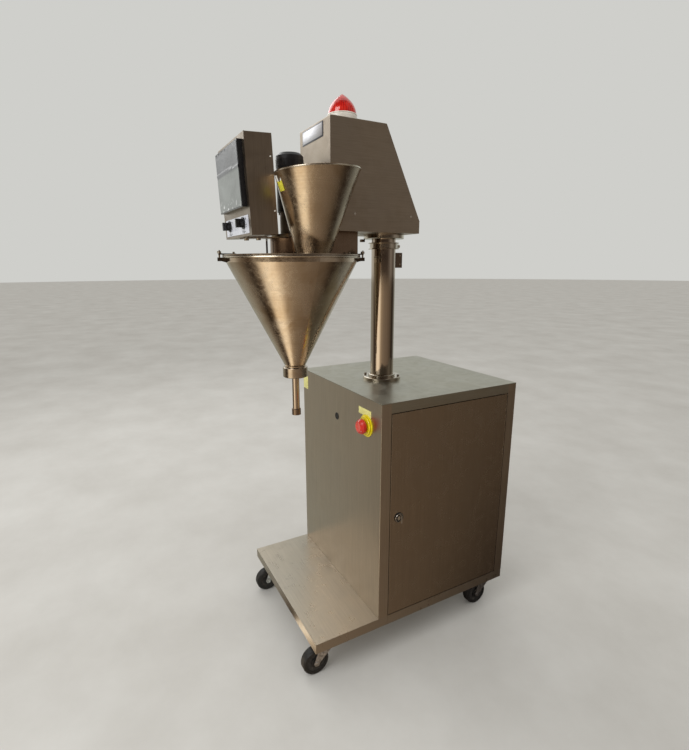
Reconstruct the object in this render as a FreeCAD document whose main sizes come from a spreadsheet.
import FreeCAD, Part
import math
import os
import Sketcher
from FreeCAD import Placement, Rotation, Vector

# Auger powder filler on a wheeled cabinet. Millimetres, +Z up, -Y is the operator's side,
# +X the door side. The origin lies on the floor under the middle of the machine, and X = 0
# is the plane through the column, the hopper and the filling nozzle.

doc = FreeCAD.newDocument("AugerPowderFiller")
sheet = doc.addObject("Spreadsheet::Sheet", "Sizes")
nodes = []


class Dim:
    """A length that knows its number and the sheet expression it comes from."""

    def __init__(self, value, text):
        self.value = float(value)
        self.text = text

    def __add__(self, other):
        other = dim(other)
        return Dim(self.value + other.value, "(%s + %s)" % (self.text, other.text))

    def __sub__(self, other):
        other = dim(other)
        return Dim(self.value - other.value, "(%s - %s)" % (self.text, other.text))

    def __mul__(self, factor):
        factor = dim(factor)
        return Dim(self.value * factor.value, "(%s * %s)" % (self.text, factor.text))

    def __truediv__(self, factor):
        factor = dim(factor)
        return Dim(self.value / factor.value, "(%s / %s)" % (self.text, factor.text))

    def __neg__(self):
        return Dim(-self.value, "(0 - %s)" % self.text)

    __radd__ = __add__
    __rmul__ = __mul__


def dim(value):
    if isinstance(value, Dim):
        return value
    return Dim(value, "(%.6g)" % value if value < 0 else "%.6g" % value)


def size(name, value):
    """One driving dimension: a row of the sheet with its name and its number."""
    size.row += 1
    sheet.set("A%d" % size.row, name)
    sheet.set("B%d" % size.row, "%g" % value)
    sheet.setAlias("B%d" % size.row, name)
    return Dim(value, "Sizes." + name)


size.row = 0

# Cabinet and base
cabinet_width = size("cabinet_width", 484)
cabinet_depth = size("cabinet_depth", 470)
cabinet_height = size("cabinet_height", 622)
tray_height = size("tray_height", 28)
platform_reach = size("platform_reach", 192)
front_setback = size("front_setback", 86)
sheet_wall = size("sheet_wall", 2)
fold_radius = size("fold_radius", 1.5)
stile_width = size("stile_width", 30)
header_height = size("header_height", 28)
return_depth = size("return_depth", 20)
door_gap = size("door_gap", 2)
door_depth = size("door_depth", 16)
door_return = size("door_return", 14)
pin_diameter = size("pin_diameter", 5)
pin_setback = size("pin_setback", 5)
seam_width = size("seam_width", 0.6)
service_hole = size("service_hole", 19)
service_hole_drop = size("service_hole_drop", 98)
estop_inset = size("estop_inset", 72)
estop_drop = size("estop_drop", 76)
estop_ring_diameter = size("estop_ring_diameter", 60)
estop_button_diameter = size("estop_button_diameter", 40)
estop_travel = size("estop_travel", 5)
gland_diameter = size("gland_diameter", 20)
fit = size("running_fit", 0.05)
clearance = size("clearance", 0.3)

# Casters
caster_height = size("caster_height", 100)
wheel_diameter = size("wheel_diameter", 75)
wheel_width = size("wheel_width", 25)
wheel_trail = size("wheel_trail", 30)
axle_diameter = size("axle_diameter", 10)
fork_wall = size("fork_wall", 3)
caster_plate = size("caster_plate", 66)
caster_inset = size("caster_inset", 47)
rear_caster_inset = size("rear_caster_inset", 36)
rail_width = size("rail_width", 80)

# Column and its guide
column_setback = size("column_setback", 155)
column_diameter = size("column_diameter", 70)
column_wall = size("column_wall", 4)
column_rise = size("column_rise", 410)
column_tail = size("column_tail", 320)
guide_diameter = size("guide_diameter", 114)
guide_thickness = size("guide_thickness", 10)
guide_sleeve = size("guide_sleeve", 80)
collar_diameter = size("collar_diameter", 80)
collar_height = size("collar_height", 18)
collar_drop = size("collar_drop", 10)
collar_lip = size("collar_lip", 4)
hub_diameter = size("hub_diameter", 116)
hub_thickness = size("hub_thickness", 12)

# Head
head_width = size("head_width", 180)
head_front = size("head_front", 60)
head_top_depth = size("head_top_depth", 160)
head_depth = size("head_depth", 273)
head_height = size("head_height", 264)
head_tray_height = size("head_tray_height", 31)
beacon_diameter = size("beacon_diameter", 77)
beacon_base_height = size("beacon_base_height", 29)
beacon_dome_height = size("beacon_dome_height", 51)
beacon_setback = size("beacon_setback", 81)

# Hopper, nozzle and lid
hopper_setback = size("hopper_setback", 129)
rim_diameter = size("rim_diameter", 356)
cone_diameter = size("cone_diameter", 338)
neck_diameter = size("neck_diameter", 56)
hopper_wall = size("hopper_wall", 2)
rim_drop = size("rim_drop", 50)
rim_flange = size("rim_flange", 3)
band_height = size("band_height", 12)
cone_height = size("cone_height", 275)
lid_thickness = size("lid_thickness", 4)
nozzle_diameter = size("nozzle_diameter", 20)
nozzle_wall = size("nozzle_wall", 1.5)
neck_height = size("neck_height", 24)
nozzle_length = size("nozzle_length", 118)
nozzle_cap_diameter = size("nozzle_cap_diameter", 25)
nozzle_cap_height = size("nozzle_cap_height", 18)
neck_collar_diameter = size("neck_collar_diameter", 68)
neck_collar_height = size("neck_collar_height", 28)
auger_shaft = size("auger_shaft", 8)
auger_gap = size("auger_gap", 0.5)
auger_pitch = size("auger_pitch", 15)
auger_turns = size("auger_turns", 11)
auger_blade = size("auger_blade", 1.4)
clamp_bolt_diameter = size("clamp_bolt_diameter", 5)
clamp_reach = size("clamp_reach", 7)
clamp_drop = size("clamp_drop", 7)
agitator_rod = size("agitator_rod", 8)
agitator_gap = size("agitator_gap", 8)
clamp_angle = size("clamp_angle", 10)
rear_clamp_angle = size("rear_clamp_angle", 25)
strap_length = size("strap_length", 34)
strap_wall = size("strap_wall", 3)

# Drive stack on the lid
housing_diameter = size("housing_diameter", 112)
housing_height = size("housing_height", 40)
drive_box_width = size("drive_box_width", 100)
motor_flange_diameter = size("motor_flange_diameter", 106)
motor_flange_thickness = size("motor_flange_thickness", 7)
gearbox_diameter = size("gearbox_diameter", 57)
gearbox_height = size("gearbox_height", 55)
motor_diameter = size("motor_diameter", 69)
motor_height = size("motor_height", 139)

# Feed funnel beside the drive, leaning outwards
funnel_foot_x = size("funnel_foot_x", 99.5)
funnel_foot_y = size("funnel_foot_y", 15)
funnel_foot_diameter = size("funnel_foot_diameter", 85)
funnel_mouth_x = size("funnel_mouth_x", 161)
funnel_mouth_y = size("funnel_mouth_y", 1)
funnel_mouth_diameter = size("funnel_mouth_diameter", 195)
funnel_height = size("funnel_height", 178)
funnel_tilt = size("funnel_tilt", 3.3)
funnel_wall = size("funnel_wall", 2)

# Control box in front of the drive
control_width = size("control_width", 221)
control_height = size("control_height", 215)
control_depth = size("control_depth", 64)
control_front = size("control_front", 141)
bracket_wall = size("bracket_wall", 3)
bracket_width = size("bracket_width", 60)
control_tilt = size("control_tilt", 2.5)
screen_width = size("screen_width", 190)
screen_height = size("screen_height", 140)
screen_depth = size("screen_depth", 12)
screen_drop = size("screen_drop", 13)
switch_plate_rise = size("switch_plate_rise", 5.5)
switch_plate_height = size("switch_plate_height", 40)
switch_spacing = size("switch_spacing", 116)
switch_diameter = size("switch_diameter", 22)

doc.recompute()

# Levels and stations that follow from the sizes
cabinet_front = -front_setback
cabinet_rear = cabinet_front + cabinet_depth
platform_front = cabinet_front - platform_reach
tray_top = caster_height + tray_height
cabinet_top = tray_top + cabinet_height
top_underside = cabinet_top - sheet_wall
half_width = cabinet_width / 2
door_foot = tray_top + door_gap
door_head = cabinet_top - header_height - door_gap
door_front = cabinet_front + stile_width + door_gap
door_rear = cabinet_rear - stile_width - door_gap
column_y = cabinet_front + column_setback
column_radius = column_diameter / 2
column_top = cabinet_top + column_rise
head_foot = column_top + hub_thickness
hopper_y = cabinet_front - hopper_setback
rim_height = column_top - rim_drop
lid_top = rim_height + lid_thickness
estop_offset = half_width - estop_inset


def bind(item, name, value):
    """Ties one property of a document object to the sheet."""
    item.setExpression(name, dim(value).text)


def place(item, at, axis=None, angle=0):
    """Puts an object at a bound position, turned about one axis."""
    at = [dim(v) for v in at]
    rotation = Rotation(Vector(*axis), dim(angle).value) if axis else Rotation()
    item.Placement = Placement(Vector(*[v.value for v in at]), rotation)
    for letter, value in zip("xyz", at):
        bind(item, ".Placement.Base." + letter, value)
    if axis and isinstance(angle, Dim):
        bind(item, ".Placement.Rotation.Angle", angle)
    return item


def body(name):
    item = doc.addObject("PartDesign::Body", name)
    item.Label = name
    nodes.append(item)
    return item


def sketch(owner, role, level=0):
    """A sketch on one of the body's own origin planes, lifted by a bound level."""
    item = owner.newObject("Sketcher::SketchObject", owner.Name + "_outline")
    base = [f for f in owner.Origin.OriginFeatures if f.Role == role][0]
    item.AttachmentSupport = (base, [""])
    item.MapMode = "FlatFace"
    level = dim(level)
    item.AttachmentOffset = Placement(Vector(0, 0, level.value), Rotation())
    bind(item, ".AttachmentOffset.Base.z", level)
    return item


def pin_point(item, geometry, vertex, x, y):
    """Fixes one point of a sketch at bound coordinates from the sketch's origin."""
    for kind, axis, value in (("DistanceX", -2, dim(x)), ("DistanceY", -1, dim(y))):
        if abs(value.value) < 1e-9:
            item.addConstraint(Sketcher.Constraint("PointOnObject", geometry, vertex, axis))
        else:
            number = item.addConstraint(Sketcher.Constraint(kind, -1, 1, geometry, vertex, value.value))
            item.setExpression("Constraints[%d]" % number, value.text)


def polygon(item, points):
    """A closed outline of straight lines through bound points."""
    points = [(dim(x), dim(y)) for x, y in points]
    first = item.GeometryCount
    count = len(points)
    for index in range(count):
        a = points[index]
        b = points[(index + 1) % count]
        line = Part.LineSegment(Vector(a[0].value, a[1].value, 0), Vector(b[0].value, b[1].value, 0))
        item.addGeometry(line, False)
    for index in range(count):
        following = first + (index + 1) % count
        item.addConstraint(Sketcher.Constraint("Coincident", first + index, 2, following, 1))
    for index in range(count):
        pin_point(item, first + index, 1, points[index][0], points[index][1])


def rectangle(item, x0, y0, x1, y1):
    polygon(item, [(x0, y0), (x1, y0), (x1, y1), (x0, y1)])


def circle(item, x, y, diameter):
    x, y, diameter = dim(x), dim(y), dim(diameter)
    shape = Part.Circle(Vector(x.value, y.value, 0), Vector(0, 0, 1), diameter.value / 2)
    number = item.addGeometry(shape, False)
    rule = item.addConstraint(Sketcher.Constraint("Diameter", number, diameter.value))
    item.setExpression("Constraints[%d]" % rule, diameter.text)
    pin_point(item, number, 3, x, y)


def pad(owner, outline, length):
    item = owner.newObject("PartDesign::Pad", owner.Name + "_pad")
    item.Profile = outline
    bind(item, "Length", length)
    outline.Visibility = False
    return item


def pocket(owner, outline, length, reverse=False):
    """A cut that is refused when it takes nothing away."""
    doc.recompute()
    before = owner.Shape.Volume
    item = owner.newObject("PartDesign::Pocket", owner.Name + "_pocket")
    item.Profile = outline
    bind(item, "Length", length)
    item.Reversed = reverse
    doc.recompute()
    if owner.Shape.Volume > before - 1e-6:
        raise RuntimeError("a pocket of %s cuts nothing" % owner.Name)
    return item


def turned(name, profile, at=(0, 0, 0), axis=None, angle=0):
    """A round piece: a profile of (radius, height) points turned about its own Z axis."""
    item = body(name)
    outline = sketch(item, "XZ_Plane")
    polygon(outline, profile)
    turn = item.newObject("PartDesign::Revolution", name + "_turn")
    turn.Profile = outline
    turn.ReferenceAxis = (outline, ["V_Axis"])
    turn.Angle = 360
    return place(item, at, axis, angle)


def round_edges(owner, radius, pick):
    """A fillet on the edges of the body that the pick function accepts."""
    doc.recompute()
    tip = owner.Tip
    names = ["Edge%d" % (n + 1) for n, edge in enumerate(tip.Shape.Edges) if pick(edge)]
    item = owner.newObject("PartDesign::Fillet", owner.Name + "_fillet")
    item.Base = (tip, names)
    bind(item, "Radius", radius)
    doc.recompute()
    return item


def box(name, corner, lengths):
    item = doc.addObject("Part::Box", name)
    for side, value in zip(("Length", "Width", "Height"), lengths):
        bind(item, side, value)
    return place(item, corner)


def cylinder(name, diameter, height, at, axis=None, angle=0):
    item = doc.addObject("Part::Cylinder", name)
    bind(item, "Radius", dim(diameter) / 2)
    bind(item, "Height", height)
    return place(item, at, axis, angle)


def cut(name, base, tool):
    item = doc.addObject("Part::Cut", name)
    item.Base = base
    item.Tool = tool
    return item


def fuse(name, shapes):
    item = doc.addObject("Part::MultiFuse", name)
    item.Shapes = shapes
    item.Refine = True
    return item


def group(name, shapes):
    """Several separate solids of one kind in one node."""
    item = doc.addObject("Part::Compound", name)
    item.Links = shapes
    return item


def keep(item, name):
    item.Label = name
    nodes.append(item)
    return item


def vertical(edge):
    direction = edge.Curve.Direction if isinstance(edge.Curve, Part.Line) else None
    return direction is not None and abs(direction.z) > 0.999


# ---------------------------------------------------------------- base and cabinet
# The platform and the cabinet floor are one folded tray, open below.
tray = body("base_tray")
outline = sketch(tray, "XY_Plane", caster_height)
rectangle(outline, -half_width, platform_front, half_width, cabinet_rear)
pad(tray, outline, tray_height)
round_edges(tray, fold_radius, vertical)
outline = sketch(tray, "XY_Plane", caster_height)
rectangle(outline, -half_width + sheet_wall, platform_front + sheet_wall,
          half_width - sheet_wall, cabinet_rear - sheet_wall)
pocket(tray, outline, tray_height - sheet_wall, True)
door_axis_x = half_width - sheet_wall - pin_diameter / 2 - clearance
door_axis_y = door_rear - pin_setback
outline = sketch(tray, "XY_Plane", tray_top)
circle(outline, door_axis_x, door_axis_y, pin_diameter + fit * 2)
pocket(tray, outline, sheet_wall)
# Weld seams where the sill meets the two stiles.
outline = sketch(tray, "YZ_Plane", half_width)
for seam_y in (cabinet_front + stile_width, cabinet_rear - stile_width):
    rectangle(outline, seam_y - seam_width / 2, caster_height + seam_width,
              seam_y + seam_width / 2, tray_top - seam_width)
pocket(tray, outline, seam_width)

# The seam at the foot of the cabinet's front wall is ground flush, which leaves a fine groove.
outline = sketch(tray, "XY_Plane", tray_top)
rectangle(outline, -half_width, cabinet_front - seam_width, half_width, cabinet_front)
pocket(tray, outline, seam_width / 2)

# Two tubular rails across the tray carry the caster plates.
caster_front_y = platform_front + caster_inset
caster_rear_y = cabinet_rear - rear_caster_inset
caster_x = half_width - caster_inset
rails = []
for place_name, y in (("front", caster_front_y), ("rear", cabinet_rear - caster_inset)):
    outer = box("rail_outer_" + place_name,
                (-half_width + sheet_wall, y - rail_width / 2, caster_height),
                (cabinet_width - sheet_wall * 2, rail_width, tray_height - sheet_wall))
    inner = box("rail_inner_" + place_name,
                (-half_width + sheet_wall, y - rail_width / 2 + sheet_wall, caster_height + sheet_wall),
                (cabinet_width - sheet_wall * 2, rail_width - sheet_wall * 2,
                 tray_height - sheet_wall * 3))
    rails.append(cut("rail_" + place_name, outer, inner))
keep(group("base_rails", rails), "base_rails")

# Front and rear walls wrap round the door side as stiles with inward returns.
for name, edge, sign in (("front_panel", cabinet_front, 1), ("rear_panel", cabinet_rear, -1)):
    panel = body(name)
    outline = sketch(panel, "XY_Plane", tray_top)
    wall = sheet_wall * sign
    stile = stile_width * sign
    polygon(outline, [
        (-half_width, edge), (half_width, edge), (half_width, edge + stile),
        (half_width - return_depth, edge + stile),
        (half_width - return_depth, edge + stile - wall),
        (half_width - sheet_wall, edge + stile - wall),
        (half_width - sheet_wall, edge + wall), (-half_width, edge + wall)])
    pad(panel, outline, cabinet_height - sheet_wall)
    corner = Vector(half_width.value, edge.value, 0)

    def outer_fold(line):
        point = line.Vertexes[0].Point
        return vertical(line) and abs(point.x - corner.x) < 0.01 and abs(point.y - corner.y) < 0.01

    round_edges(panel, fold_radius, outer_fold)
front_panel = nodes[-2]
outline = sketch(front_panel, "XZ_Plane", -cabinet_front)
circle(outline, 0, cabinet_top - service_hole_drop, service_hole)
circle(outline, estop_offset, cabinet_top - estop_drop, estop_button_diameter / 2)
pocket(front_panel, outline, sheet_wall)
rear_panel = nodes[-1]
gland_z = tray_top + stile_width
outline = sketch(rear_panel, "XZ_Plane", -cabinet_rear)
circle(outline, -half_width / 2, gland_z, gland_diameter)
pocket(rear_panel, outline, sheet_wall, True)

side = body("side_panel")
outline = sketch(side, "YZ_Plane", -half_width)
rectangle(outline, cabinet_front + sheet_wall, tray_top, cabinet_rear - sheet_wall, top_underside)
pad(side, outline, sheet_wall)

# The top sheet folds down over the door as its header, with a return that holds the hinge pin.
top = body("top_panel")
outline = sketch(top, "XZ_Plane", -cabinet_rear)
polygon(outline, [
    (-half_width, top_underside), (half_width - sheet_wall, top_underside),
    (half_width - sheet_wall, cabinet_top - header_height + sheet_wall),
    (half_width - return_depth, cabinet_top - header_height + sheet_wall),
    (half_width - return_depth, cabinet_top - header_height),
    (half_width, cabinet_top - header_height), (half_width, cabinet_top), (-half_width, cabinet_top)])
pad(top, outline, cabinet_depth)
# Only the top sheet itself runs over the stiles.
outline = sketch(top, "XY_Plane", top_underside)
for near, far in ((cabinet_front, cabinet_front + stile_width), (cabinet_rear - stile_width, cabinet_rear)):
    rectangle(outline, half_width - return_depth - 1, near, half_width, far)
pocket(top, outline, header_height)
outline = sketch(top, "XY_Plane", cabinet_top)
guide_hole = column_diameter + guide_thickness * 2
circle(outline, 0, column_y, guide_hole)
pocket(top, outline, sheet_wall)
outline = sketch(top, "XY_Plane", cabinet_top - header_height + sheet_wall)
circle(outline, door_axis_x, door_axis_y, pin_diameter + fit * 2)
pocket(top, outline, sheet_wall)

# ---------------------------------------------------------------- door
door = body("door")
outline = sketch(door, "XY_Plane", door_foot)
inner = half_width - door_depth
polygon(outline, [
    (half_width, door_front), (half_width, door_rear), (inner, door_rear),
    (inner, door_rear - door_return), (inner + sheet_wall, door_rear - door_return),
    (inner + sheet_wall, door_rear - sheet_wall), (half_width - sheet_wall, door_rear - sheet_wall),
    (half_width - sheet_wall, door_front + sheet_wall), (inner + sheet_wall, door_front + sheet_wall),
    (inner + sheet_wall, door_front + door_return), (inner, door_front + door_return),
    (inner, door_front)])
pad(door, outline, door_head - door_foot)
# The top and bottom returns of the pan.
for level in (door_foot, door_head - sheet_wall):
    outline = sketch(door, "XY_Plane", level)
    rectangle(outline, inner, door_front, half_width, door_rear)
    pad(door, outline, sheet_wall)
lock_y = door_front + door_return * 2
lock_z = (door_foot + door_head) / 2
outline = sketch(door, "YZ_Plane", half_width)
circle(outline, lock_y, lock_z, switch_diameter)
pocket(door, outline, sheet_wall)
outline = sketch(door, "XY_Plane", door_head)
circle(outline, door_axis_x, door_axis_y, pin_diameter + fit * 2)
pocket(door, outline, door_head - door_foot)


def door_fold(edge):
    return vertical(edge) and abs(edge.Vertexes[0].X - half_width.value) < 0.01


round_edges(door, fold_radius, door_fold)

pins = []
pin_length = door_return * 2
for number, foot in enumerate((tray_top - sheet_wall, door_head + door_gap + sheet_wall - pin_length)):
    pins.append(cylinder("pin_%d" % number, pin_diameter, pin_length, (door_axis_x, door_axis_y, foot)))
keep(group("hinge_pins", pins), "hinge_pins")

# A quarter-turn lock: the barrel is held in the door, the key rotor with its cam turns inside it.
rotor_diameter = switch_diameter * 0.6
barrel_depth = door_depth + sheet_wall * 3
lock_flange = sheet_wall * 2
turned("lock_barrel", [
    (rotor_diameter / 2 + fit, -barrel_depth), (switch_diameter / 2 - fit, -barrel_depth),
    (switch_diameter / 2 - fit, 0), (switch_diameter * 0.64, 0), (switch_diameter * 0.64, lock_flange / 2),
    (switch_diameter * 0.55, lock_flange), (rotor_diameter / 2 + fit, lock_flange)],
    (half_width, lock_y, lock_z), (0, 1, 0), 90)
rotor = cylinder("lock_rotor_pin", rotor_diameter, barrel_depth + lock_flange + sheet_wall,
                 (half_width - barrel_depth - sheet_wall, lock_y, lock_z), (0, 1, 0), 90)
cam_length = door_return * 2
cam = box("lock_cam_blade", (half_width - barrel_depth - sheet_wall * 2, lock_y - rotor_diameter / 2,
                             lock_z - rotor_diameter / 2),
          (sheet_wall, rotor_diameter, cam_length + stile_width / 4 + rotor_diameter / 2))
grip = box("lock_grip", (half_width + lock_flange, lock_y - sheet_wall, lock_z - switch_diameter * 0.5),
           (door_gap * 5, sheet_wall * 2, switch_diameter))
keep(fuse("lock_key", [rotor, cam, grip]), "lock_key")

# ---------------------------------------------------------------- casters
axle_z = wheel_diameter / 2
plate_z = caster_height - fork_wall
kingpin = axle_diameter * 1.2
fork_outer = wheel_width / 2 + clearance * 5 + fork_wall
corners = [("front_left", -caster_x, caster_front_y), ("front_right", caster_x, caster_front_y),
           ("rear_left", -caster_x, caster_rear_y), ("rear_right", caster_x, caster_rear_y)]
plates = []
for tag, x, y in corners:
    blank = box("plate_blank_" + tag, (x - caster_plate / 2, y - caster_plate / 2, plate_z),
                (caster_plate, caster_plate, fork_wall))
    bore = cylinder("plate_bore_" + tag, kingpin + fit * 2, fork_wall, (x, y, plate_z))
    plates.append(cut("plate_" + tag, blank, bore))
keep(group("caster_plates", plates), "caster_plates")

crown_top = plate_z - clearance
crown_height = caster_height - wheel_diameter - fork_wall * 2 - clearance * 2
for tag, x, y in corners:
    # The fork: a round crown with the kingpin, and two cheeks down to the axle.
    crown = cylinder("crown_" + tag, caster_plate * 0.72, crown_height, (x, y, crown_top - crown_height))
    king = cylinder("king_" + tag, kingpin, fork_wall + crown_height / 2,
                    (x, y, crown_top - crown_height / 2))
    parts = [crown, king]
    for side_name, cheek_x in (("a", x - fork_outer), ("b", x + fork_outer - fork_wall)):
        cheek = body("cheek_%s_%s" % (side_name, tag))
        nodes.remove(cheek)
        outline = sketch(cheek, "YZ_Plane", cheek_x)
        low = axle_z - axle_diameter * 0.9
        polygon(outline, [
            (y + caster_plate * 0.3, crown_top - crown_height / 2),
            (y - caster_plate * 0.3, crown_top - crown_height / 2),
            (y - wheel_trail - axle_diameter * 0.9, axle_z), (y - wheel_trail - axle_diameter * 0.5, low),
            (y - wheel_trail + axle_diameter * 0.5, low), (y - wheel_trail + axle_diameter * 0.9, axle_z),
            (y + caster_plate * 0.3, crown_top - crown_height - fork_wall)])
        pad(cheek, outline, fork_wall)
        parts.append(cheek)
    parts.append(cylinder("axle_" + tag, axle_diameter, fork_outer * 2 + fork_wall,
                          (x - fork_outer - fork_wall / 2, y - wheel_trail, axle_z), (0, 1, 0), 90))
    keep(fuse("caster_fork_" + tag, parts), "caster_fork_" + tag)

    half_tread = wheel_width / 2
    tyre = wheel_diameter / 2
    web = half_tread * 0.55
    turned("caster_wheel_" + tag, [
        (axle_diameter / 2 + fit, -half_tread), (tyre * 0.32, -half_tread), (tyre * 0.36, -web),
        (tyre * 0.68, -web), (tyre * 0.74, -half_tread * 0.9), (tyre * 0.93, -half_tread),
        (tyre, -half_tread * 0.6), (tyre, half_tread * 0.6), (tyre * 0.93, half_tread),
        (tyre * 0.74, half_tread * 0.9), (tyre * 0.68, web), (tyre * 0.36, web), (tyre * 0.32, half_tread),
        (axle_diameter / 2 + fit, half_tread)],
        (x, y - wheel_trail, axle_z), (0, 1, 0), 90)

# ---------------------------------------------------------------- column and its guide
guide_bore = column_radius + fit
guide_stem = guide_hole / 2 - fit
turned("column_guide", [
    (guide_bore, -guide_sleeve), (guide_stem, -guide_sleeve), (guide_stem, 0), (guide_diameter / 2, 0),
    (guide_diameter / 2, guide_thickness - fold_radius), (guide_diameter / 2 - fold_radius, guide_thickness),
    (guide_bore + guide_thickness / 2, guide_thickness),
    (guide_bore + guide_thickness / 2, guide_thickness * 1.4), (guide_bore, guide_thickness * 1.4)],
    (0, column_y, cabinet_top))
guide_bolts = []
for number in range(4):
    turn = math.radians(45 + 90 * number)
    reach = (guide_hole + guide_diameter) / 4
    guide_bolts.append(cylinder("guide_bolt_%d" % number, guide_thickness * 0.8, guide_thickness * 0.5,
                                (reach * math.cos(turn), column_y + reach * math.sin(turn),
                                 cabinet_top + guide_thickness)))
keep(group("guide_bolts", guide_bolts), "guide_bolts")
column_foot = cabinet_top - column_tail
column_bore = column_radius - column_wall
turned("column", [
    (column_bore, 0), (column_radius, 0), (column_radius, column_tail + column_rise),
    (column_bore, column_tail + column_rise)], (0, column_y, column_foot))

turned("column_hub", [
    (0, 0), (hub_diameter / 2 - fold_radius, 0), (hub_diameter / 2, fold_radius),
    (hub_diameter / 2, hub_thickness), (0, hub_thickness)], (0, column_y, column_top))
collar_z = column_top - collar_drop - collar_height
lip_edge = collar_diameter / 2 + collar_lip
turned("column_collar", [
    (column_radius, 0), (lip_edge, 0), (lip_edge, fold_radius), (collar_diameter / 2, fold_radius * 2),
    (collar_diameter / 2, collar_height - fold_radius * 2), (lip_edge, collar_height - fold_radius),
    (lip_edge, collar_height), (column_radius, collar_height)], (0, column_y, collar_z))
screw_seat = (0, column_y + collar_diameter / 2, collar_z + collar_height / 2)
keep(cylinder("collar_screw", collar_height / 2, collar_height / 2, screw_seat, (1, 0, 0), -90),
     "collar_screw")
tag_height = collar_height * 2.4
keep(box("column_tab", (-sheet_wall, column_y + column_radius, collar_z - collar_height / 2 - tag_height),
         (sheet_wall * 2, column_radius * 0.85, tag_height)), "column_tab")

# ---------------------------------------------------------------- head
head_nose = cabinet_front - head_front
head_tail = head_nose + head_depth
head_top = head_foot + head_height
tray_split = head_foot + head_tray_height
slope_foot = tray_split + clearance
slope_y = head_nose + head_top_depth

cover = body("head_cover")
outline = sketch(cover, "YZ_Plane", -head_width / 2)
polygon(outline, [
    (head_nose, slope_foot - clearance), (head_tail, slope_foot - clearance),
    (slope_y, head_top), (head_nose, head_top)])
pad(cover, outline, head_width)
round_edges(cover, fold_radius * 2, lambda edge: isinstance(edge.Curve, Part.Line)
            and edge.BoundBox.ZMin > slope_foot.value + 1)
outline = sketch(cover, "YZ_Plane", -head_width / 2 + sheet_wall)
polygon(outline, [
    (head_nose + sheet_wall, slope_foot - clearance), (head_tail - sheet_wall * 1.5, slope_foot - clearance),
    (slope_y - sheet_wall * 1.5, head_top - sheet_wall), (head_nose + sheet_wall, head_top - sheet_wall)])
pocket(cover, outline, head_width - sheet_wall * 2, True)

pan = body("head_tray")
outline = sketch(pan, "XY_Plane", head_foot)
rectangle(outline, -head_width / 2, head_nose, head_width / 2, head_tail)
pad(pan, outline, head_tray_height)
round_edges(pan, fold_radius, vertical)
outline = sketch(pan, "XY_Plane", head_foot + sheet_wall)
rectangle(outline, -head_width / 2 + sheet_wall, head_nose + sheet_wall,
          head_width / 2 - sheet_wall, head_tail - sheet_wall)
pocket(pan, outline, head_tray_height, True)

screws = []
screw_diameter = sheet_wall * 3
for y in (head_nose + head_depth / 4, head_tail - head_depth / 9):
    for name, x, turn in (("right", head_width / 2, 90), ("left", -head_width / 2, -90)):
        screws.append(cylinder("cover_screw_%s_%d" % (name, len(screws)), screw_diameter, sheet_wall / 2,
                               (x, y, tray_split + screw_diameter * 2), (0, 1, 0), turn))
keep(group("cover_screws", screws), "cover_screws")

beacon_y = head_nose + beacon_setback
beacon_radius = beacon_diameter / 2
turned("beacon_base", [
    (0, 0), (beacon_radius, 0), (beacon_radius, beacon_base_height * 0.85),
    (beacon_radius * 0.96, beacon_base_height), (0, beacon_base_height)], (0, beacon_y, head_top))
# The dome is a pointed one: its radius falls with the square of the height.
steps = 9
dome_radius = beacon_radius * 0.96
dome_points = [(0, 0), (dome_radius, 0)]
for step in range(1, steps):
    rise = step / steps
    dome_points.append((dome_radius * (1 - rise ** 2.2), beacon_dome_height * rise))
dome_points.append((0, beacon_dome_height))
turned("beacon_dome", dome_points, (0, beacon_y, head_top + beacon_base_height))

# ---------------------------------------------------------------- drive stack
housing = cylinder("housing_round", housing_diameter, housing_height, (0, hopper_y, lid_top))
drive_box = box("housing_box", (-drive_box_width / 2, hopper_y, lid_top),
                (drive_box_width, -hopper_y + cabinet_front + housing_height, housing_height))
riser_front = hopper_y + motor_flange_diameter / 2 + clearance * 4
riser = box("housing_riser", (-drive_box_width / 2, riser_front, lid_top),
            (drive_box_width, cabinet_front + housing_height - riser_front, head_foot - lid_top))
shaft_bore = cylinder("housing_bore", auger_shaft * 3, housing_height, (0, hopper_y, lid_top))
keep(cut("drive_housing", fuse("housing_blank", [housing, drive_box, riser]), shaft_bore), "drive_housing")

bracket_z = lid_top + housing_height
flange_z = bracket_z + bracket_wall
flange_seat = (0, hopper_y, flange_z)
flange_blank = cylinder("flange_blank", motor_flange_diameter, motor_flange_thickness, flange_seat)
flange_bore = cylinder("flange_bore", auger_shaft + fit * 2, motor_flange_thickness, flange_seat)
keep(cut("motor_flange", flange_blank, flange_bore), "motor_flange")
gearbox_z = flange_z + motor_flange_thickness
gearbox_blank = cylinder("gearbox_blank", gearbox_diameter, gearbox_height, (0, hopper_y, gearbox_z))
socket_depth = auger_shaft * 3
gearbox_bore = cylinder("gearbox_bore", auger_shaft + fit * 2, socket_depth, (0, hopper_y, gearbox_z))
keep(cut("gearbox", gearbox_blank, gearbox_bore), "gearbox")
motor_z = gearbox_z + gearbox_height
turned("motor", [
    (0, 0), (motor_diameter / 2, 0), (motor_diameter / 2, motor_height - motor_flange_thickness),
    (motor_diameter / 2 - motor_flange_thickness, motor_height), (0, motor_height)], (0, hopper_y, motor_z))

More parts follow.
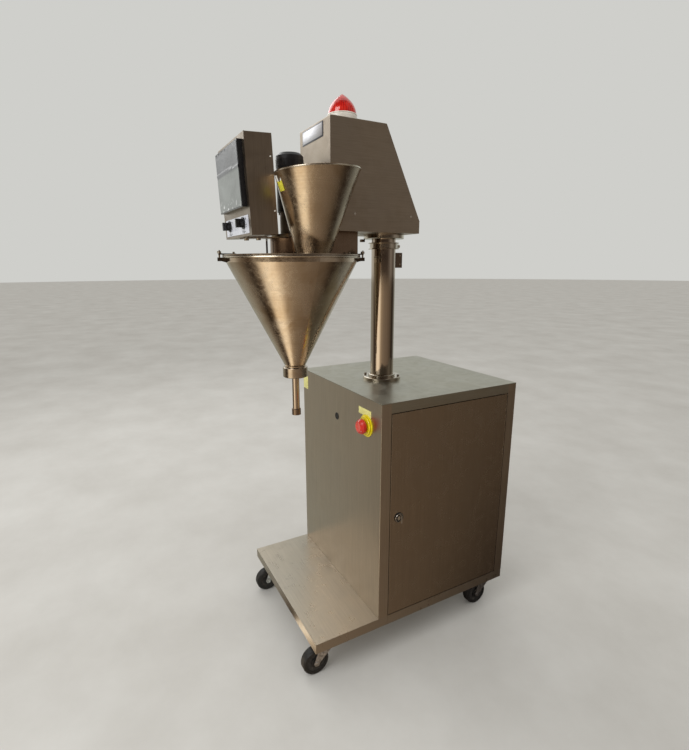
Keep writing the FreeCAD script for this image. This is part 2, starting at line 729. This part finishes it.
# ---------------------------------------------------------------- hopper and nozzle
band_top = rim_height - rim_flange
cone_head = band_top - band_height
cone_foot = cone_head - cone_height
nozzle_top = cone_foot - neck_height
nozzle_end = nozzle_top - nozzle_length
rim_radius = rim_diameter / 2
cone_radius = cone_diameter / 2
neck_radius = neck_diameter / 2
turned("hopper", [
    (neck_radius - hopper_wall, nozzle_top - nozzle_wall), (neck_radius, nozzle_top - nozzle_wall),
    (neck_radius, cone_foot), (cone_radius, cone_head), (cone_radius, band_top), (rim_radius, band_top),
    (rim_radius, rim_height), (cone_radius - hopper_wall, rim_height), (cone_radius - hopper_wall, cone_head),
    (neck_radius - hopper_wall, cone_foot)], (0, hopper_y, 0))

nozzle_radius = nozzle_diameter / 2
nozzle_bore = nozzle_radius - nozzle_wall
nozzle_flange = nozzle_top - nozzle_wall * 2
turned("nozzle", [
    (nozzle_bore, nozzle_end), (nozzle_radius, nozzle_end), (nozzle_radius, nozzle_flange - nozzle_wall),
    (neck_radius, nozzle_flange - nozzle_wall), (neck_radius, nozzle_flange + nozzle_wall),
    (nozzle_bore, nozzle_flange + nozzle_wall)], (0, hopper_y, 0))
collar_foot = nozzle_flange - nozzle_wall * 3
turned("neck_collar", [
    (nozzle_radius + clearance, collar_foot), (neck_collar_diameter / 2 - fold_radius, collar_foot),
    (neck_collar_diameter / 2, collar_foot + fold_radius),
    (neck_collar_diameter / 2, collar_foot + neck_collar_height - fold_radius),
    (neck_collar_diameter / 2 - fold_radius, collar_foot + neck_collar_height),
    (neck_radius, collar_foot + neck_collar_height), (neck_radius, collar_foot + nozzle_wall * 2),
    (nozzle_radius + clearance, collar_foot + nozzle_wall * 2)], (0, hopper_y, 0))
turned("nozzle_cap", [
    (nozzle_radius, nozzle_end), (nozzle_cap_diameter / 2, nozzle_end),
    (nozzle_cap_diameter / 2, nozzle_end + nozzle_cap_height - fold_radius),
    (nozzle_cap_diameter / 2 - fold_radius, nozzle_end + nozzle_cap_height),
    (nozzle_radius, nozzle_end + nozzle_cap_height)], (0, hopper_y, 0))

# The lid closes the hopper, with bores for the drive and for the feed funnel.
lid = body("hopper_lid")
outline = sketch(lid, "XY_Plane")
circle(outline, 0, 0, rim_diameter)
pad(lid, outline, lid_thickness)
outline = sketch(lid, "XY_Plane", lid_thickness)
lid_bore = auger_shaft * 2.5
circle(outline, 0, 0, lid_bore)
circle(outline, funnel_foot_x, funnel_foot_y, funnel_foot_diameter - funnel_wall * 2)
pocket(lid, outline, lid_thickness)
place(lid, (0, hopper_y, rim_height))

# The feed funnel is an oblique cone: two lofts between the foot and a slightly tilted mouth.
funnel = body("feed_funnel")


def funnel_ring(level, x, y, diameter, tilt=None):
    item = sketch(funnel, "XY_Plane", level)
    if tilt:
        lean = Rotation(Vector(1, 0, 0), tilt.value)
        item.AttachmentOffset = Placement(Vector(0, 0, dim(level).value), lean)
        bind(item, ".AttachmentOffset.Base.z", level)
        bind(item, ".AttachmentOffset.Rotation.Angle", tilt)
    circle(item, x, y, diameter)
    return item


for kind, shrink in (("AdditiveLoft", 0), ("SubtractiveLoft", funnel_wall * 2)):
    foot_ring = funnel_ring(0, funnel_foot_x, funnel_foot_y, funnel_foot_diameter - shrink)
    mouth_ring = funnel_ring(funnel_height, funnel_mouth_x, funnel_mouth_y,
                             funnel_mouth_diameter - shrink, funnel_tilt)
    loft = funnel.newObject("PartDesign::" + kind, "funnel_" + kind.lower())
    loft.Profile = foot_ring
    loft.Sections = [mouth_ring]
    loft.Ruled = True
place(funnel, (0, hopper_y, lid_top))

# ---------------------------------------------------------------- auger and agitator
# The auger: a round shaft with one continuous blade from the nozzle's mouth into the cone.
auger_radius = nozzle_bore - auger_gap
blade_length = auger_pitch * auger_turns
shaft_top = gearbox_z + socket_depth - clearance
auger = body("auger")
outline = sketch(auger, "XY_Plane", nozzle_end + nozzle_wall)
circle(outline, 0, 0, auger_shaft)
pad(auger, outline, shaft_top - nozzle_end - nozzle_wall)
outline = sketch(auger, "XZ_Plane")
blade_foot = nozzle_end + nozzle_wall * 2
rectangle(outline, auger_shaft / 4, blade_foot, auger_radius, blade_foot + auger_blade)
helix = auger.newObject("PartDesign::AdditiveHelix", "auger_blade_helix")
helix.Profile = outline
helix.ReferenceAxis = (outline, ["V_Axis"])
helix.Mode = 0
bind(helix, "Pitch", auger_pitch)
bind(helix, "Height", blade_length)
place(auger, (0, hopper_y, 0))

# The agitator turns round the auger: a hub under the lid, two arms and two blades along the cone.
hub_bore = auger_shaft / 2 + fit
agitator_hub = auger_shaft * 1.25 - fit
slope = (cone_radius - neck_radius) / cone_height
arm_z = cone_head - agitator_rod
low_z = cone_foot + agitator_rod * 8
high_r = cone_radius - hopper_wall - agitator_gap - agitator_rod * 1.5
low_r = high_r - (arm_z - low_z) * slope
hub_outer = agitator_hub + agitator_rod
hub_head = lid_top + housing_height - clearance
agitator = turned("agitator", [
    (hub_bore, arm_z - agitator_rod), (hub_outer, arm_z - agitator_rod), (hub_outer, arm_z + agitator_rod),
    (agitator_hub, arm_z + agitator_rod), (agitator_hub, hub_head), (hub_bore, hub_head)], (0, hopper_y, 0))
for sign in (1, -1):
    outline = sketch(agitator, "XZ_Plane", -agitator_rod / 2)
    inner_edge = (hub_outer - agitator_rod / 2) * sign
    polygon(outline, [
        (inner_edge, arm_z - agitator_rod / 2), ((high_r - agitator_rod) * sign, arm_z - agitator_rod / 2),
        ((low_r - agitator_rod) * sign, low_z), (low_r * sign, low_z),
        (high_r * sign, arm_z + agitator_rod / 2), (inner_edge, arm_z + agitator_rod / 2)])
    pad(agitator, outline, agitator_rod)

# ---------------------------------------------------------------- swing clamps of the hopper
lug_reach = rim_radius + clamp_reach
bolt_diameter = clamp_bolt_diameter
eye_bore = bolt_diameter * 0.7
lug_gap = bolt_diameter + clearance * 2
lug_wall = sheet_wall * 1.5
pivot_z = rim_height - clamp_drop
strap_top = lid_top + strap_wall
knob_z = strap_top + clearance
half_ear = lug_gap / 2 + lug_wall
half_slot = bolt_diameter / 2 + clearance
hooks = []
ears = []
strap_screws = []


def on_rim(item, turn):
    """Turns a clamp piece, drawn along +X from the hopper's axis, to its station on the rim."""
    return place(item, (0, hopper_y, 0), (0, 0, 1), turn)


for tag, turn in (("front", -clamp_angle - 90), ("rear", -rear_clamp_angle + 90)):
    for letter, y in (("a", lug_gap / 2), ("b", -half_ear)):
        hook = body("hook_%s_%s" % (letter, tag))
        nodes.remove(hook)
        outline = sketch(hook, "XZ_Plane", -y - lug_wall)
        polygon(outline, [
            (cone_radius, band_top), (lug_reach + bolt_diameter, band_top),
            (lug_reach + bolt_diameter, pivot_z - bolt_diameter),
            (lug_reach - bolt_diameter, pivot_z - bolt_diameter), (cone_radius, cone_head)])
        pad(hook, outline, lug_wall)
        hooks.append(on_rim(hook, turn))
    pin = body("hook_pin_" + tag)
    nodes.remove(pin)
    outline = sketch(pin, "XZ_Plane", -lug_gap / 2)
    circle(outline, lug_reach, pivot_z, eye_bore)
    pad(pin, outline, lug_gap)
    hooks.append(on_rim(pin, turn))
    ear = body("ear_" + tag)
    nodes.remove(ear)
    outline = sketch(ear, "XY_Plane", lid_top)
    tip = lug_reach + bolt_diameter / 2
    root = rim_radius - strap_length
    polygon(outline, [
        (root, -half_ear), (tip, -half_ear), (tip, -half_slot), (lug_reach - half_slot, -half_slot),
        (lug_reach - half_slot, half_slot), (tip, half_slot), (tip, half_ear), (root, half_ear)])
    pad(ear, outline, strap_wall)
    ears.append(on_rim(ear, turn))
    stud = body("strap_screw_" + tag)
    nodes.remove(stud)
    outline = sketch(stud, "XY_Plane", strap_top)
    circle(outline, root + half_ear, 0, half_ear)
    pad(stud, outline, bolt_diameter * 0.8)
    strap_screws.append(on_rim(stud, turn))
    # The swing bolt: an eye on the pivot pin, a stem and a knob with two wings.
    bolt = body("clamp_bolt_" + tag)
    outline = sketch(bolt, "XZ_Plane", -bolt_diameter / 2)
    circle(outline, lug_reach, pivot_z, bolt_diameter * 1.6)
    pad(bolt, outline, bolt_diameter)
    for foot, width, length in ((pivot_z, bolt_diameter * 0.9, knob_z - pivot_z),
                                (knob_z, bolt_diameter * 2, bolt_diameter)):
        outline = sketch(bolt, "XY_Plane", foot)
        circle(outline, lug_reach, 0, width)
        pad(bolt, outline, length)
    outline = sketch(bolt, "XY_Plane", knob_z + bolt_diameter * 0.3)
    rectangle(outline, lug_reach - bolt_diameter * 0.3, -bolt_diameter * 2,
              lug_reach + bolt_diameter * 0.3, bolt_diameter * 2)
    pad(bolt, outline, bolt_diameter * 1.2)
    outline = sketch(bolt, "XZ_Plane", -bolt_diameter / 2)
    circle(outline, lug_reach, pivot_z, eye_bore + fit * 2)
    pocket(bolt, outline, bolt_diameter, True)
    on_rim(bolt, turn)
keep(group("clamp_hooks", hooks), "clamp_hooks")
keep(group("lid_ears", ears), "lid_ears")
keep(group("strap_screws", strap_screws), "strap_screws")

# ---------------------------------------------------------------- control box
# Drawn upright with its foot at the origin, then tipped forwards about the foot.
control_y = hopper_y - control_front
rise = Dim(math.tan(math.radians(control_tilt.value)), "tan(Sizes.control_tilt * 1 deg)")
control_base = flange_z - control_depth * rise


def on_control(item):
    """Stands a control box piece, drawn about the box's own foot, on its tilted base."""
    return place(item, (0, control_y, control_base), (1, 0, 0), control_tilt)


half_box = control_width / 2
case = body("control_box")
outline = sketch(case, "XY_Plane")
rectangle(outline, -half_box, sheet_wall, half_box, control_depth)
pad(case, outline, control_height)
round_edges(case, fold_radius, lambda edge: isinstance(edge.Curve, Part.Line)
            and edge.BoundBox.YMax > sheet_wall.value + 0.1)
outline = sketch(case, "XZ_Plane", -sheet_wall)
rectangle(outline, -half_box + sheet_wall, sheet_wall, half_box - sheet_wall, control_height - sheet_wall)
pocket(case, outline, control_depth - sheet_wall * 2)
on_control(case)

# The front plate carries the touch screen and, below it, the plate with two selectors.
screen_foot = control_height - screen_drop - screen_height
screen_x = screen_width / 2
plate_foot = switch_plate_rise
plate_top = plate_foot + switch_plate_height
switch_z = plate_foot + switch_plate_height * 0.6
switch_stations = (-switch_spacing / 2, switch_spacing / 2)
plate_wall = sheet_wall / 2
front = body("control_face")
outline = sketch(front, "XZ_Plane", -sheet_wall)
rectangle(outline, -half_box, 0, half_box, control_height)
pad(front, outline, sheet_wall)
face = body("switch_plate")
outline = sketch(face, "XZ_Plane")
rectangle(outline, -screen_x, plate_foot, screen_x, plate_top)
pad(face, outline, plate_wall)
for panel in (front, face):
    outline = sketch(panel, "XZ_Plane", -sheet_wall)
    for x in switch_stations:
        circle(outline, x, switch_z, switch_diameter)
    pocket(panel, outline, sheet_wall * 2, True)
    on_control(panel)

screen = body("touch_screen")
outline = sketch(screen, "XZ_Plane")
rectangle(outline, -screen_x, screen_foot, screen_x, screen_foot + screen_height)
pad(screen, outline, screen_depth)
on_control(screen)

# Each selector: a shank through both plates, a round bezel, a knob and its raised grip.
for tag, x in zip(("left", "right"), switch_stations):
    knob = body("selector_" + tag)
    seat = plate_wall + clearance
    bezel = sheet_wall * 1.5
    for level, width, length in ((-control_depth / 3, switch_diameter - fit * 2, control_depth / 3 + seat),
                                 (seat, switch_diameter * 1.2, bezel),
                                 (seat + bezel, switch_diameter * 0.9, sheet_wall * 3)):
        outline = sketch(knob, "XZ_Plane", level)
        circle(outline, x, switch_z, width)
        pad(knob, outline, length)
    outline = sketch(knob, "XZ_Plane", seat + bezel + sheet_wall * 3)
    grip_width = switch_diameter * 0.17
    grip_reach = switch_diameter * 0.44
    rectangle(outline, x - grip_width, switch_z - grip_reach, x + grip_width, switch_z + grip_reach)
    pad(knob, outline, sheet_wall * 5)
    on_control(knob)

# A bent bracket plate, clamped between the drive housing and the motor's flange, carries the box.
bracket = body("control_bracket")
outline = sketch(bracket, "YZ_Plane", -bracket_width / 2)
bend_y = control_y + control_depth
tip_y = control_y + control_depth * 0.2
tip_top = flange_z - control_depth * 0.8 * rise
bracket_end = hopper_y + motor_flange_diameter / 4
polygon(outline, [
    (tip_y, tip_top), (bend_y, flange_z), (bracket_end, flange_z), (bracket_end, bracket_z),
    (bend_y, bracket_z), (tip_y, tip_top - bracket_wall)])
pad(bracket, outline, bracket_width)
outline = sketch(bracket, "XY_Plane", flange_z)
circle(outline, 0, hopper_y, auger_shaft + fit * 2)
pocket(bracket, outline, bracket_wall)
bolts = []
for y in (control_depth * 0.32, control_depth * 0.8):
    level = bracket_z - (control_depth - y) * rise
    bolts.append(cylinder("bracket_bolt_%d" % len(bolts), bracket_wall * 4, bracket_wall * 1.5,
                          (0, control_y + y, level), (1, 0, 0), control_tilt + 180))
keep(group("bracket_bolts", bolts), "bracket_bolts")

# ---------------------------------------------------------------- emergency stop and cable entry
estop_z = cabinet_top - estop_drop
estop_bore = estop_button_diameter * 0.18
turned("estop_ring", [
    (estop_bore + fit, -sheet_wall * 8), (estop_button_diameter / 4 - fit, -sheet_wall * 8),
    (estop_button_diameter / 4 - fit, 0), (estop_ring_diameter / 2, 0), (estop_ring_diameter / 2, sheet_wall),
    (estop_button_diameter / 2, sheet_wall * 2), (estop_button_diameter / 2, sheet_wall * 3),
    (estop_bore + fit, sheet_wall * 3)], (estop_offset, cabinet_front, estop_z), (1, 0, 0), 90)
cap_foot = sheet_wall * 3 + estop_travel + clearance
turned("estop_button", [
    (0, -sheet_wall * 6), (estop_bore, -sheet_wall * 6), (estop_bore, cap_foot),
    (estop_button_diameter / 2 - fold_radius, cap_foot), (estop_button_diameter / 2, cap_foot + fold_radius),
    (estop_button_diameter / 2, cap_foot + estop_button_diameter / 5),
    (estop_button_diameter * 0.4, cap_foot + estop_button_diameter * 0.35),
    (0, cap_foot + estop_button_diameter * 0.38)], (estop_offset, cabinet_front, estop_z), (1, 0, 0), 90)
turned("cable_gland", [
    (gland_diameter * 0.3, -gland_diameter * 0.5), (gland_diameter / 2, -gland_diameter * 0.5),
    (gland_diameter / 2, 0), (gland_diameter * 0.65, 0), (gland_diameter * 0.65, gland_diameter * 0.4),
    (gland_diameter * 0.45, gland_diameter * 0.9), (gland_diameter * 0.3, gland_diameter * 0.9)],
    (-half_width / 2, cabinet_rear, gland_z), (1, 0, 0), -90)

# ---------------------------------------------------------------- checks and files
doc.recompute()
faults = []
for item in doc.Objects:
    if "Invalid" in item.State or "Error" in item.State:
        faults.append("%s: %s" % (item.Name, item.State))
for item in nodes:
    if item.Shape.isNull() or not item.Shape.isValid():
        faults.append("%s has no valid shape" % item.Label)
if faults:
    raise RuntimeError("; ".join(faults))

os.makedirs("parts", exist_ok=True)
for item in nodes:
    item.Shape.exportStep("parts/%s.step" % item.Label)
    print("%-26s %2d solids %12.1f mm3" % (item.Label, len(item.Shape.Solids), item.Shape.Volume))
print(len(nodes), "nodes")
